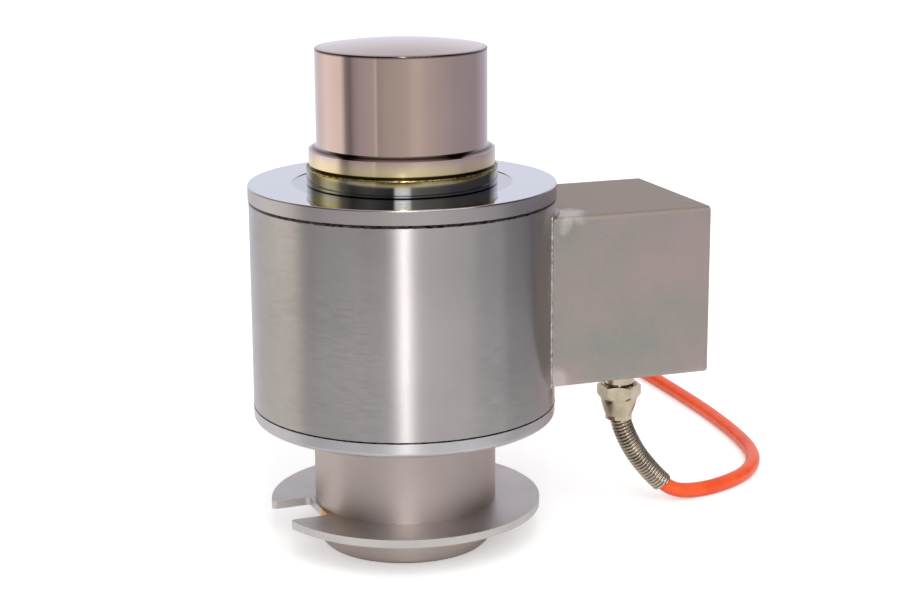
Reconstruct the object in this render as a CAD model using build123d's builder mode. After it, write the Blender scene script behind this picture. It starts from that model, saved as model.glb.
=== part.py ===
from build123d import *
import os
from math import atan2, cos, radians, sin, sqrt, tan

os.makedirs("parts", exist_ok=True)

# Sizes are in millimetres. Z runs up the load axis from the foot's bottom face, and the
# junction box points along +X.

# Clearances
fit_clearance = 0.05     # radial, where one round piece seats in another
free_clearance = 0.3     # round a piece that only passes through or lies inside
weld_gap = 0.2           # between the box's edges and the housing, closed by the weld

# Load column, turned from one bar
foot_radius = 43.0
foot_height = 18.0
foot_chamfer = 1.5
seat_radius = 44.0       # the disc's seat, wider than the foot it slides over
column_radius = 46.0
stand_height = 41.5      # bar seen between the locating disc and the housing
groove_height = 2.0
groove_depth = 2.2
collar_height = 7.2
shoulder_height = 2.0
head_radius = 42.2
head_height = 47.4
head_edge_radius = 0.6
dome_rise = 3.5
neck_radius = 39.0
gauge_across_flats = 56.0
flat_length = 68.0
flat_end_radius = 6.0

# Locating disc under the column's shoulder
disc_radius = 68.5
disc_thickness = 4.0
slot_width = 29.0
slot_wall = 3.0          # disc left between its seat and the slot
slot_turn = 182.5        # degrees from +X to the slot's middle
slot_root_radius = 2.5
slot_mouth_radius = 2.0

# Welded housing
housing_radius = 76.0
housing_wall = 4.0
tube_length = 104.5
tube_edge_chamfer = 0.4
top_cover_lip = 0.4      # the top cover stands this far proud of the tube
top_cover_thickness = 7.5
top_edge_radius = 0.8
bottom_cover_thickness = 9.5
bottom_curve_width = 12.0
bottom_curve_height = 4.5
spigot_depth = 4.0
hub_wall = 4.0           # ring of cover left round the column
diaphragm_width = 6.0
diaphragm_thickness = 1.6
land_width = 7.3         # shallow turned step round the seal sleeve
land_depth = 0.3
sleeve_wall = 1.15
sleeve_height = 7.8

# Strain gauges on the column's four flats
gauge_foil = 0.15
gauge_width = 8.0
gauge_length = 14.0
gauge_spacing = 20.0     # axial grid centre to transverse grid centre
tab_width = 14.0
tab_height = 5.0
tab_thickness = 1.0
tab_gap = 0.5            # coating's lower edge to the solder tabs
coat_height = 44.0
coat_width = 34.0
coat_thickness = 2.2
coat_wall = 3.0
coat_pocket = 1.0

# Bridge board round the column inside the housing
board_thickness = 1.6
board_edge_margin = 1.0
ring_board_clearance = 3.0   # board's outer edge to the housing's bore
ring_board_gap = 4.0     # column to the board's inner edge
ring_spacer_height = 5.0
ring_screw_inset = 5.0   # board's outer edge to the screws
ring_screw_turn = 20.0
ring_screw_length = 12.0
ring_resistor_turn = 65.0
ring_resistor_length = 6.4
ring_resistor_width = 3.2
ring_resistor_height = 1.2
ring_plug_length = 9.0
ring_plug_width = 12.0
ring_plug_height = 7.0
lead_radius = 0.8
lead_reach = 11.0        # straight out from the solder tabs
lead_drop = 8.0
loom_radius = 2.2
loom_boot_radius = 5.2
loom_boot_length = 5.0
loom_rise = 8.0          # straight up from the ring board's plug, and straight up to the boot
loom_run_out = 11.0      # straight out of the boot inside the box
loom_run_in = 16.2       # straight into the trim board's plug

# M3 and M4 screws
screw_radius = 1.5
screw_head_radius = 2.8
screw_head_height = 2.0
screw_length = 8.0
spacer_radius = 3.0
cover_screw_radius = 2.0
cover_screw_head_radius = 3.8
cover_screw_head_angle = 90.0   # countersunk
cover_screw_length = 13.0
cover_screw_socket = 2.5
cover_screw_socket_depth = 1.1

# Glass sealed feedthrough from the housing into the box
feed_radius = 9.0
feed_flange_radius = 12.0
feed_flange_thickness = 3.0
feed_bore_radius = 6.5
feed_spot_depth = 1.0
feed_spot_margin = 1.0
pin_radius = 0.6
pin_circle = 4.0
pin_count = 6
pin_reach = 3.0          # past the feedthrough at either end

# Junction box, a folded steel shell with a screwed end cover
box_end = 148.0          # load axis to the outer end of the box
box_width = 87.6
box_height = 85.8
box_wall = 2.0
box_bend_radius = 2.5
box_drop = 7.9           # top of the housing tube down to the top of the box
lug_size = 9.0
lug_length = 12.0
lug_edge_radius = 1.0
gasket_thickness = 1.5
end_cover_thickness = 3.0

# Trim board on the box's back wall
trim_board_height = 60.0
trim_board_gap = 6.0     # housing's side to the board's inner edge
trim_board_inset = 20.0  # box end to the board's outer edge
trim_board_lift = 11.2   # box floor to the board's lower edge
standoff_height = 8.0
hole_inset = 4.0
resistor_radius = 1.25
resistor_length = 6.5
resistor_pitch = 6.0
resistor_spread = 22.0
resistor_lift = 38.0     # board's lower edge to the middle row
terminal_width = 36.0
terminal_height = 12.0
terminal_depth = 12.0
terminal_lift = 11.0     # board's lower edge to the terminal block
terminal_pitch = 5.5
terminal_screw_radius = 1.6
terminal_screw_height = 3.0
entry_depth = 3.0
entry_setback = 6.0      # block's front face to the wire entries
trim_plug_width = 12.0
trim_plug_depth = 10.0
trim_plug_height = 8.0
trim_plug_drop = 8.0     # board's upper edge to the plug's middle

# Cable gland under the box
gland_inset = 29.0       # box end to the gland's axis
gland_thread_radius = 8.0
gland_washer_radius = 11.0
gland_washer_thickness = 2.0
gland_across_flats = 20.0
gland_body_height = 7.5
gland_body_turn = 10.0
gland_neck = 4.8         # thread seen between the body and the nut
nut_turn = 35.5
nut_hex_height = 8.0
nut_top_chamfer = 1.2
nut_low_chamfer = 2.2
nut_nose_height = 11.3
nut_nose_radius = 9.7
nut_nose_bulge = 0.25
nut_tip_radius = 7.0
nut_tip_height = 2.0
nut_tip_wall = 0.6
nut_grip = 9.0           # thread inside the nut
lock_nut_height = 4.5
lock_nut_across_flats = 22.0
gland_top_reach = 1.0    # thread past the lock nut
seal_radius = 6.5
seal_height = 6.0
claw_height = 4.0
spring_radius = 5.3
spring_hold = 5.5        # spring inside the nut's nose

# Cable
cable_radius = 4.0
bend_share = 0.45        # of the shorter run beside a bend, taken by its arc
core_radius = 0.65
core_circle = 2.1
core_count = 6
core_turns = (195.0, 255.0, 135.0, 315.0, 75.0, 15.0)
core_rises = (9.2, 11.4, 7.0, 12.5, 8.1, 10.3)
core_run_in = 5.0        # straight up to the terminal block
core_grip = 2.5          # inside the terminal block
jacket_inset = 2.3       # gland's top down to the jacket's end
coil_x = 136.7
coil_y = 318.2
coil_mean_radius = 72.0
coil_columns = 5
coil_layers = 4
coil_turns = 19.125      # laid in the ring, from where the cable joins it
coil_entry_turn = 30.0
coil_entry_run = 40.0
coil_edge_radius = 3.5
notch_clearance = 3.0    # beside the cable, which still bends as it comes in
tail_start_turn = 75.0
tail_half_turns = 3
tie_width = 4.8
tie_thickness = 1.3
tie_clearance = 0.1
tie_turns = (100.0, 220.0, 340.0)
tie_head_depth = 4.0
tie_head_width = 8.0
tie_head_height = 7.0
bare_core_length = 45.0
bare_core_pitch = 2.4    # between the cores' tips
fan_turns = (195.0, 135.0, 255.0, 75.0, 315.0, 15.0)
fan_run_out = 8.0
fan_bend = 26.0          # jacket's end to the last bend
fan_bend_in = 9.0        # the last bend lies this much nearer to the coil's axis
fan_turn_in = 20.0       # and the tips this much
ferrule_radius = 1.0
ferrule_length = 10.0

# Levels up the load axis
seat_z = foot_height + disc_thickness
base_z = seat_z + stand_height
tube_z = base_z + bottom_cover_thickness
lid_z = tube_z + tube_length
deck_z = lid_z + top_cover_thickness
sleeve_z = deck_z - land_depth
sleeve_top_z = deck_z + sleeve_height
collar_z = sleeve_top_z + groove_height
collar_top_z = collar_z + collar_height
head_z = collar_top_z + shoulder_height
rim_z = head_z + head_height
apex_z = rim_z + dome_rise
gauge_z = tube_z + tube_length / 2
spigot_top_z = tube_z + spigot_depth
ring_board_z = spigot_top_z + ring_spacer_height
ring_board_top_z = ring_board_z + board_thickness
box_top_z = lid_z - box_drop
box_z = box_top_z - box_height
box_mid_z = box_z + box_height / 2
box_floor_z = box_z + box_wall

# Radii that follow from the sizes above
bore_radius = column_radius + fit_clearance
tube_bore_radius = housing_radius - housing_wall
spigot_radius = tube_bore_radius - fit_clearance
hub_radius = bore_radius + hub_wall
diaphragm_radius = hub_radius + diaphragm_width
sleeve_radius = bore_radius + sleeve_wall
ring_board_radius = column_radius + ring_board_gap
ring_board_outer = tube_bore_radius - ring_board_clearance
ring_board_width = ring_board_outer - ring_board_radius
flat_distance = gauge_across_flats / 2
gland_x = box_end - gland_inset
flat_turns = (45.0, 135.0, 225.0, 315.0)


def polar(radius, turn, z):
    """Point at a radius and turn about the load axis."""
    return (radius * cos(radians(turn)), radius * sin(radians(turn)), z)


def facing_out(turn, radius, z):
    """Plane facing straight out from the load axis, its local X pointing up."""
    return Plane(origin=polar(radius, turn, z), x_dir=(0, 0, 1), z_dir=polar(1, turn, 0))


def corner_radii(points):
    """Arc radius at each corner, so that the arc takes its share of the shorter run."""
    radii = []
    for before, corner, after in zip(points, points[1:], points[2:]):
        arriving = Vector(*corner) - Vector(*before)
        leaving = Vector(*after) - Vector(*corner)
        half_turn = radians(arriving.get_angle(leaving)) / 2
        radii.append(bend_share * min(arriving.length, leaving.length) / tan(half_turn))
    return radii


def tube_along(points, radius, radii=None):
    """Round bar inside the part in hand, along straight runs joined by tangent arcs."""
    with BuildLine() as route:
        FilletPolyline(*points, radius=radii or corner_radii(points))
    path = route.wire()
    with BuildSketch(Plane(origin=path @ 0, z_dir=path % 0)) as section:
        Circle(radius)
    sweep(section.sketch, path=path)
    return path.length


# Load column: foot, shoulder over the disc, sealed bar, necked gauge section, groove,
# collar and domed head
neck_depth = column_radius - neck_radius
neck_low_z = gauge_z - flat_length / 2
neck_high_z = gauge_z + flat_length / 2
dome_radius = (head_radius**2 + dome_rise**2) / (2 * dome_rise)
dome_half_z = apex_z - dome_radius + sqrt(dome_radius**2 - head_radius**2 / 4)

with BuildPart() as load_column:
    with BuildSketch(Plane.XZ) as column_outline:
        with BuildLine():
            Polyline(
                (0, apex_z),
                (0, 0),
                (foot_radius - foot_chamfer, 0),
                (foot_radius, foot_chamfer),
                (foot_radius, foot_height),
                (seat_radius, foot_height),
                (seat_radius, seat_z),
                (column_radius, seat_z),
                (column_radius, neck_low_z - neck_depth),
                (neck_radius, neck_low_z),
                (neck_radius, neck_high_z),
                (column_radius, neck_high_z + neck_depth),
                (column_radius, sleeve_top_z),
                (column_radius - groove_depth, sleeve_top_z),
                (column_radius - groove_depth, collar_z),
                (column_radius, collar_z),
                (column_radius, collar_top_z),
                (head_radius, head_z),
                (head_radius, rim_z),
            )
            ThreePointArc((head_radius, rim_z), (head_radius / 2, dome_half_z), (0, apex_z))
        make_face()
        rim = column_outline.vertices().sort_by_distance((head_radius, rim_z))[0]
        fillet(rim, head_edge_radius)
    revolve(axis=Axis.Z)
    flat_planes = [Plane.XZ.rotated((0, 0, turn)) for turn in flat_turns]
    with BuildSketch(*flat_planes):
        with Locations((flat_distance + column_radius, gauge_z)):
            RectangleRounded(2 * column_radius, flat_length, flat_end_radius)
    extrude(amount=column_radius, both=True, mode=Mode.SUBTRACT)
load_column.part.label = "load_column"
export_step(load_column.part, "parts/load_column.step")

# Locating disc: slips over the foot up to the shoulder, and a stop pin stands in its slot
slot_root = seat_radius + fit_clearance + slot_wall
slot_mouth = sqrt(disc_radius**2 - slot_width**2 / 4)
slot_plane = Plane.XY.offset(foot_height).rotated((0, 0, slot_turn))
slot_roots = [(slot_root, side * slot_width / 2) for side in (-1, 1)]
slot_mouths = [(slot_mouth, side * slot_width / 2) for side in (-1, 1)]
with BuildPart() as locating_disc:
    with BuildSketch(slot_plane) as disc_face:
        Circle(disc_radius)
        Circle(seat_radius + fit_clearance, mode=Mode.SUBTRACT)
        with Locations((slot_root + disc_radius / 2, 0)):
            Rectangle(disc_radius, slot_width, mode=Mode.SUBTRACT)
        corners = disc_face.vertices()
        fillet([corners.sort_by_distance(point)[0] for point in slot_roots], slot_root_radius)
        corners = disc_face.vertices()
        fillet([corners.sort_by_distance(point)[0] for point in slot_mouths], slot_mouth_radius)
    extrude(amount=disc_thickness)
locating_disc.part.label = "locating_disc"
export_step(locating_disc.part, "parts/locating_disc.step")

# Bottom cover: bored for the column, thinned to a diaphragm, curved in towards its underside
ring_screws = PolarLocations(ring_board_outer - ring_screw_inset, 4, start_angle=ring_screw_turn)
with BuildPart() as bottom_cover:
    with BuildSketch(Plane.XZ):
        with BuildLine():
            Polyline(
                (housing_radius, base_z + bottom_curve_height),
                (housing_radius, tube_z - tube_edge_chamfer),
                (housing_radius - tube_edge_chamfer, tube_z),
                (spigot_radius, tube_z),
                (spigot_radius, spigot_top_z),
                (diaphragm_radius, spigot_top_z),
                (diaphragm_radius, base_z + diaphragm_thickness),
                (hub_radius, base_z + diaphragm_thickness),
                (hub_radius, spigot_top_z),
                (bore_radius, spigot_top_z),
                (bore_radius, base_z),
                (housing_radius - bottom_curve_width, base_z),
            )
            EllipticalCenterArc(
                center=(housing_radius - bottom_curve_width, base_z + bottom_curve_height),
                x_radius=bottom_curve_width,
                y_radius=bottom_curve_height,
                start_angle=270,
                arc_size=90,
            )
        make_face()
    revolve(axis=Axis.Z)
    with BuildSketch(Plane.XY.offset(spigot_top_z)):
        with ring_screws:
            Circle(screw_radius + fit_clearance)
    extrude(amount=-(ring_screw_length - ring_spacer_height), mode=Mode.SUBTRACT)
bottom_cover.part.label = "bottom_cover"
export_step(bottom_cover.part, "parts/bottom_cover.step")

# Top cover: a diaphragm from below, and a shallow land turned round the seal sleeve
diaphragm_z = sleeve_z - diaphragm_thickness
cover_radius = housing_radius + top_cover_lip
land_radius = sleeve_radius + land_width
with BuildPart() as top_cover:
    with BuildSketch(Plane.XZ) as cover_outline:
        Polygon(
            (bore_radius, lid_z - spigot_depth),
            (hub_radius, lid_z - spigot_depth),
            (hub_radius, diaphragm_z),
            (diaphragm_radius, diaphragm_z),
            (diaphragm_radius, lid_z - spigot_depth),
            (spigot_radius, lid_z - spigot_depth),
            (spigot_radius, lid_z),
            (cover_radius - top_cover_lip, lid_z),
            (cover_radius, lid_z + tube_edge_chamfer),
            (cover_radius, deck_z),
            (land_radius, deck_z),
            (land_radius, sleeve_z),
            (bore_radius, sleeve_z),
            align=None,
        )
        fillet(cover_outline.vertices().sort_by_distance((cover_radius, deck_z))[0], top_edge_radius)
    revolve(axis=Axis.Z)
top_cover.part.label = "top_cover"
export_step(top_cover.part, "parts/top_cover.step")

# Seal sleeve: thin ring round the column, welded to it at the groove and to the cover below
with BuildPart() as seal_sleeve:
    with BuildSketch(Plane.XY.offset(sleeve_z)):
        Circle(sleeve_radius)
        Circle(bore_radius, mode=Mode.SUBTRACT)
    extrude(amount=sleeve_top_z - sleeve_z)
seal_sleeve.part.label = "seal_sleeve"
export_step(seal_sleeve.part, "parts/seal_sleeve.step")

# Housing tube: both ends bevelled for the seam welds, spot faced and bored for the feedthrough
feed_face_x = housing_radius - feed_spot_depth
feed_axis = Plane(origin=(feed_face_x, 0, box_mid_z), x_dir=(0, 1, 0), z_dir=(1, 0, 0))
with BuildPart() as housing_tube:
    with BuildSketch(Plane.XZ):
        Polygon(
            (tube_bore_radius, tube_z),
            (housing_radius - tube_edge_chamfer, tube_z),
            (housing_radius, tube_z + tube_edge_chamfer),
            (housing_radius, lid_z - tube_edge_chamfer),
            (housing_radius - tube_edge_chamfer, lid_z),
            (tube_bore_radius, lid_z),
            align=None,
        )
    revolve(axis=Axis.Z)
    with BuildSketch(feed_axis):
        Circle(feed_flange_radius + feed_spot_margin)
    extrude(amount=housing_wall, mode=Mode.SUBTRACT)
    with BuildSketch(feed_axis):
        Circle(feed_radius + fit_clearance)
    extrude(amount=-2 * housing_wall, mode=Mode.SUBTRACT)
housing_tube.part.label = "housing_tube"
export_step(housing_tube.part, "parts/housing_tube.step")

# Strain gauges: an axial and a transverse grid on each flat
axial_z = gauge_z + gauge_spacing / 2
transverse_z = gauge_z - gauge_spacing / 2
with BuildPart() as axial_gauges:
    with BuildSketch(*[facing_out(turn, flat_distance, axial_z) for turn in flat_turns]):
        Rectangle(gauge_length, gauge_width)
    extrude(amount=gauge_foil)
axial_gauges.part.label = "axial_gauges"
export_step(axial_gauges.part, "parts/axial_gauges.step")

with BuildPart() as transverse_gauges:
    with BuildSketch(*[facing_out(turn, flat_distance, transverse_z) for turn in flat_turns]):
        Rectangle(gauge_width, gauge_length)
    extrude(amount=gauge_foil)
transverse_gauges.part.label = "transverse_gauges"
export_step(transverse_gauges.part, "parts/transverse_gauges.step")

# Solder tabs under each pair of gauges, where the leads start
tab_z = gauge_z - coat_height / 2 - tab_gap - tab_height / 2
with BuildPart() as solder_tabs:
    with BuildSketch(*[facing_out(turn, flat_distance, tab_z) for turn in flat_turns]):
        Rectangle(tab_height, tab_width)
    extrude(amount=tab_thickness)
solder_tabs.part.label = "solder_tabs"
export_step(solder_tabs.part, "parts/solder_tabs.step")

# Rubber coating over each pair of gauges, hollow over the foils
with BuildPart() as gauge_coatings:
    with BuildSketch(*[facing_out(turn, flat_distance, gauge_z) for turn in flat_turns]):
        Rectangle(coat_height, coat_width)
    extrude(amount=coat_thickness)
    with BuildSketch(*[facing_out(turn, flat_distance, gauge_z) for turn in flat_turns]):
        Rectangle(coat_height - 2 * coat_wall, coat_width - 2 * coat_wall)
    extrude(amount=coat_pocket, mode=Mode.SUBTRACT)
gauge_coatings.part.label = "gauge_coatings"
export_step(gauge_coatings.part, "parts/gauge_coatings.step")

# Bridge board: ring on four spacers over the bottom cover, with resistors and the loom's plug
with BuildPart() as bridge_board:
    with BuildSketch(Plane.XY.offset(ring_board_z)):
        Circle(ring_board_outer)
        Circle(ring_board_radius, mode=Mode.SUBTRACT)
        with ring_screws:
            Circle(screw_radius + fit_clearance, mode=Mode.SUBTRACT)
    extrude(amount=board_thickness)
bridge_board.part.label = "bridge_board"
export_step(bridge_board.part, "parts/bridge_board.step")

with BuildPart() as bridge_spacers:
    with BuildSketch(Plane.XY.offset(spigot_top_z)):
        with ring_screws:
            Circle(spacer_radius)
            Circle(screw_radius + fit_clearance, mode=Mode.SUBTRACT)
    extrude(amount=ring_spacer_height)
bridge_spacers.part.label = "bridge_spacers"
export_step(bridge_spacers.part, "parts/bridge_spacers.step")

with BuildPart() as bridge_screws:
    with BuildSketch(Plane.XY.offset(ring_board_top_z)):
        with ring_screws:
            Circle(screw_head_radius)
    extrude(amount=screw_head_height)
    with BuildSketch(Plane.XY.offset(ring_board_top_z)):
        with ring_screws:
            Circle(screw_radius)
    extrude(amount=-ring_screw_length)
bridge_screws.part.label = "bridge_screws"
export_step(bridge_screws.part, "parts/bridge_screws.step")

with BuildPart() as bridge_resistors:
    with BuildSketch(Plane.XY.offset(ring_board_top_z)):
        with PolarLocations(ring_board_radius + ring_board_width / 2, 4, start_angle=ring_resistor_turn):
            Rectangle(ring_resistor_width, ring_resistor_length)
    extrude(amount=ring_resistor_height)
bridge_resistors.part.label = "bridge_resistors"
export_step(bridge_resistors.part, "parts/bridge_resistors.step")

ring_plug_x = ring_board_radius + board_edge_margin + ring_plug_length / 2
ring_plug_z = ring_board_top_z + ring_plug_height
with BuildPart() as bridge_plug:
    with BuildSketch(Plane.XY.offset(ring_board_top_z)):
        with Locations((ring_plug_x, 0)):
            Rectangle(ring_plug_length, ring_plug_width)
    extrude(amount=ring_plug_height)
bridge_plug.part.label = "bridge_plug"
export_step(bridge_plug.part, "parts/bridge_plug.step")

# Gauge leads: from each row of tabs out past the column and down to the bridge board
lead_x = flat_distance + tab_thickness
lead_landing = ring_board_radius + hole_inset
with BuildPart() as gauge_leads:
    for turn in flat_turns:
        tube_along(
            [
                polar(lead_x, turn, tab_z),
                polar(lead_x + lead_reach, turn, tab_z),
                polar(lead_landing, turn, tab_z - lead_drop),
                polar(lead_landing, turn, ring_board_top_z),
            ],
            lead_radius,
        )
gauge_leads.part.label = "gauge_leads"
export_step(gauge_leads.part, "parts/gauge_leads.step")

# Feedthrough: flanged bush in the housing's wall, sealed with glass round the pins
feed_inner_x = feed_face_x - housing_wall
feed_outer_x = feed_face_x + feed_flange_thickness
pin_inner_x = feed_inner_x - pin_reach
pin_outer_x = feed_outer_x + pin_reach
feed_inner = feed_axis.offset(feed_inner_x - feed_face_x)
with BuildPart() as feedthrough_bush:
    with BuildSketch(feed_inner):
        Circle(feed_radius)
    extrude(amount=housing_wall)
    with BuildSketch(feed_axis):
        Circle(feed_flange_radius)
    extrude(amount=feed_flange_thickness)
    with BuildSketch(feed_inner):
        Circle(feed_bore_radius)
    extrude(amount=feed_outer_x - feed_inner_x, mode=Mode.SUBTRACT)
feedthrough_bush.part.label = "feedthrough_bush"
export_step(feedthrough_bush.part, "parts/feedthrough_bush.step")

with BuildPart() as feedthrough_glass:
    with BuildSketch(feed_inner):
        Circle(feed_bore_radius - fit_clearance)
        with PolarLocations(pin_circle, pin_count):
            Circle(pin_radius + fit_clearance, mode=Mode.SUBTRACT)
    extrude(amount=feed_outer_x - feed_inner_x)
feedthrough_glass.part.label = "feedthrough_glass"
export_step(feedthrough_glass.part, "parts/feedthrough_glass.step")

with BuildPart() as feedthrough_pins:
    with BuildSketch(feed_axis.offset(pin_inner_x - feed_face_x)):
        with PolarLocations(pin_circle, pin_count):
            Circle(pin_radius)
    extrude(amount=pin_outer_x - pin_inner_x)
feedthrough_pins.part.label = "feedthrough_pins"
export_step(feedthrough_pins.part, "parts/feedthrough_pins.step")

# Bridge loom: sleeved wires from the ring board's plug up into a moulded boot on the pins
boot_inner_x = pin_inner_x - loom_boot_length
boot_middle_x = pin_inner_x - loom_boot_length / 2
with BuildPart() as bridge_loom:
    tube_along(
        [
            (ring_plug_x, 0, ring_plug_z),
            (ring_plug_x, 0, ring_plug_z + loom_rise),
            (boot_middle_x, 0, box_mid_z - loom_boot_radius - loom_rise),
            (boot_middle_x, 0, box_mid_z - loom_boot_radius / 2),
        ],
        loom_radius,
    )
    with BuildSketch(feed_axis.offset(boot_inner_x - feed_face_x)):
        Circle(loom_boot_radius)
    extrude(amount=loom_boot_length)
bridge_loom.part.label = "bridge_loom"
export_step(bridge_loom.part, "parts/bridge_loom.step")

# Junction box: shell folded from sheet, its inner end cut to the housing's curve
box_section = Plane(origin=(0, 0, box_mid_z), x_dir=(0, 1, 0), z_dir=(1, 0, 0))
inner_width = box_width - 2 * box_wall
inner_height = box_height - 2 * box_wall
with BuildPart() as box_shell:
    with BuildSketch(box_section):
        RectangleRounded(box_width, box_height, box_bend_radius)
        RectangleRounded(inner_width, inner_height, box_bend_radius - box_wall, mode=Mode.SUBTRACT)
    extrude(amount=box_end)
    with BuildSketch(Plane.XY.offset(box_z)):
        Circle(housing_radius + weld_gap)
    extrude(amount=box_height, mode=Mode.SUBTRACT)
    with BuildSketch(Plane.XY.offset(box_z)):
        with Locations((gland_x, 0)):
            Circle(gland_thread_radius + free_clearance)
    extrude(amount=box_wall, mode=Mode.SUBTRACT)
box_shell.part.label = "box_shell"
export_step(box_shell.part, "parts/box_shell.step")

# End cover: set into the mouth on four welded lugs, over a gasket, held by four flush screws
cover_x = box_end - end_cover_thickness
gasket_x = cover_x - gasket_thickness
lug_x = gasket_x - lug_length
cover_width = inner_width - 2 * free_clearance
cover_height = inner_height - 2 * free_clearance
lug_places = GridLocations(inner_width - lug_size, inner_height - lug_size, 2, 2)
with BuildPart() as box_lugs:
    with BuildSketch(box_section.offset(lug_x)):
        with lug_places:
            RectangleRounded(lug_size, lug_size, lug_edge_radius)
            Circle(cover_screw_radius + fit_clearance, mode=Mode.SUBTRACT)
    extrude(amount=lug_length)
box_lugs.part.label = "box_lugs"
export_step(box_lugs.part, "parts/box_lugs.step")

with BuildPart() as box_gasket:
    with BuildSketch(box_section.offset(gasket_x)):
        RectangleRounded(cover_width, cover_height, lug_edge_radius)
        Rectangle(inner_width - 2 * lug_size, inner_height - 2 * lug_size, mode=Mode.SUBTRACT)
        with lug_places:
            Circle(cover_screw_radius + free_clearance, mode=Mode.SUBTRACT)
    extrude(amount=gasket_thickness)
box_gasket.part.label = "box_gasket"
export_step(box_gasket.part, "parts/box_gasket.step")

with BuildPart(box_section.offset(box_end)) as box_cover:
    with BuildSketch(box_section.offset(cover_x)):
        RectangleRounded(cover_width, cover_height, lug_edge_radius)
    extrude(amount=end_cover_thickness)
    with lug_places:
        CounterSinkHole(
            radius=cover_screw_radius + free_clearance,
            counter_sink_radius=cover_screw_head_radius,
            depth=end_cover_thickness,
            counter_sink_angle=cover_screw_head_angle,
        )
box_cover.part.label = "box_cover"
export_step(box_cover.part, "parts/box_cover.step")

sunk_width = cover_screw_head_radius - cover_screw_radius
cover_screw_head_height = sunk_width / tan(radians(cover_screw_head_angle / 2))
down_from_face = (Align.CENTER, Align.CENTER, Align.MAX)
with BuildPart(box_section.offset(box_end)) as cover_screws:
    with lug_places:
        Cone(
            cover_screw_radius,
            cover_screw_head_radius,
            cover_screw_head_height,
            align=down_from_face,
        )
        Cylinder(cover_screw_radius, cover_screw_length, align=down_from_face)
    with BuildSketch(box_section.offset(box_end)):
        with lug_places:
            RegularPolygon(cover_screw_socket / 2, 6, major_radius=False)
    extrude(amount=-cover_screw_socket_depth, mode=Mode.SUBTRACT)
cover_screws.part.label = "cover_screws"
export_step(cover_screws.part, "parts/cover_screws.step")

# Trim board on four studs from the box's back wall, with its resistors and terminals
trim_board_width = box_end - trim_board_inset - housing_radius - trim_board_gap
board_x = box_end - trim_board_inset - trim_board_width / 2
board_low_z = box_floor_z + trim_board_lift
back_y = inner_width / 2
board_back_y = back_y - standoff_height
board_front_y = board_back_y - board_thickness
board_middle_z = board_low_z + trim_board_height / 2


def board_plane(y, z):
    """Plane across the trim board's middle at height z, facing the box's front wall."""
    return Plane(origin=(board_x, y, z), x_dir=(1, 0, 0), z_dir=(0, -1, 0))


board_holes = GridLocations(trim_board_width - 2 * hole_inset, trim_board_height - 2 * hole_inset, 2, 2)
with BuildPart() as trim_board:
    with BuildSketch(board_plane(board_back_y, board_middle_z)):
        Rectangle(trim_board_width, trim_board_height)
        with board_holes:
            Circle(screw_radius + fit_clearance, mode=Mode.SUBTRACT)
    extrude(amount=board_thickness)
trim_board.part.label = "trim_board"
export_step(trim_board.part, "parts/trim_board.step")

with BuildPart() as board_standoffs:
    with BuildSketch(board_plane(back_y, board_middle_z)):
        with board_holes:
            Circle(spacer_radius)
            Circle(screw_radius + fit_clearance, mode=Mode.SUBTRACT)
    extrude(amount=standoff_height)
board_standoffs.part.label = "board_standoffs"
export_step(board_standoffs.part, "parts/board_standoffs.step")

with BuildPart() as board_screws:
    with BuildSketch(board_plane(board_front_y, board_middle_z)):
        with board_holes:
            Circle(screw_head_radius)
    extrude(amount=screw_head_height)
    with BuildSketch(board_plane(board_front_y, board_middle_z)):
        with board_holes:
            Circle(screw_radius)
    extrude(amount=-screw_length)
board_screws.part.label = "board_screws"
export_step(board_screws.part, "parts/board_screws.step")

resistor_y = board_front_y - resistor_radius
resistor_ends = [
    Plane(
        origin=(
            board_x + side * resistor_spread / 2 - resistor_length / 2,
            resistor_y,
            board_low_z + resistor_lift + row * resistor_pitch,
        ),
        z_dir=(1, 0, 0),
    )
    for side in (-1, 1)
    for row in (-1, 0, 1)
]
with BuildPart() as trim_resistors:
    with BuildSketch(*resistor_ends):
        Circle(resistor_radius)
    extrude(amount=resistor_length)
trim_resistors.part.label = "trim_resistors"
export_step(trim_resistors.part, "parts/trim_resistors.step")

# Terminal block: the cores enter from below, under screws reached from the front
block_z = board_low_z + terminal_lift
block_middle_z = block_z + terminal_height / 2
block_front_y = board_front_y - terminal_depth
entry_y = block_front_y + entry_setback
terminal_row = GridLocations(terminal_pitch, terminal_pitch, core_count, 1)
with BuildPart() as terminal_block:
    with BuildSketch(board_plane(board_front_y, block_middle_z)):
        Rectangle(terminal_width, terminal_height)
    extrude(amount=terminal_depth)
    with BuildSketch(Plane(origin=(board_x, entry_y, block_z))):
        with terminal_row:
            Circle(core_radius + free_clearance)
    extrude(amount=entry_depth, mode=Mode.SUBTRACT)
    with BuildSketch(board_plane(block_front_y, block_middle_z)):
        with terminal_row:
            Circle(terminal_screw_radius + fit_clearance)
    extrude(amount=-terminal_screw_height, mode=Mode.SUBTRACT)
terminal_block.part.label = "terminal_block"
export_step(terminal_block.part, "parts/terminal_block.step")

with BuildPart() as terminal_screws:
    with BuildSketch(board_plane(block_front_y, block_middle_z)):
        with terminal_row:
            Circle(terminal_screw_radius)
    extrude(amount=-terminal_screw_height)
terminal_screws.part.label = "terminal_screws"
export_step(terminal_screws.part, "parts/terminal_screws.step")

# Plug on the trim board, and the loom to it from the feedthrough's outer pins
trim_plug_z = board_low_z + trim_board_height - trim_plug_drop
trim_plug_y = board_front_y - trim_plug_depth
with BuildPart() as trim_plug:
    with BuildSketch(board_plane(board_front_y, trim_plug_z)):
        Rectangle(trim_plug_width, trim_plug_height)
    extrude(amount=trim_plug_depth)
trim_plug.part.label = "trim_plug"
export_step(trim_plug.part, "parts/trim_plug.step")

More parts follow.
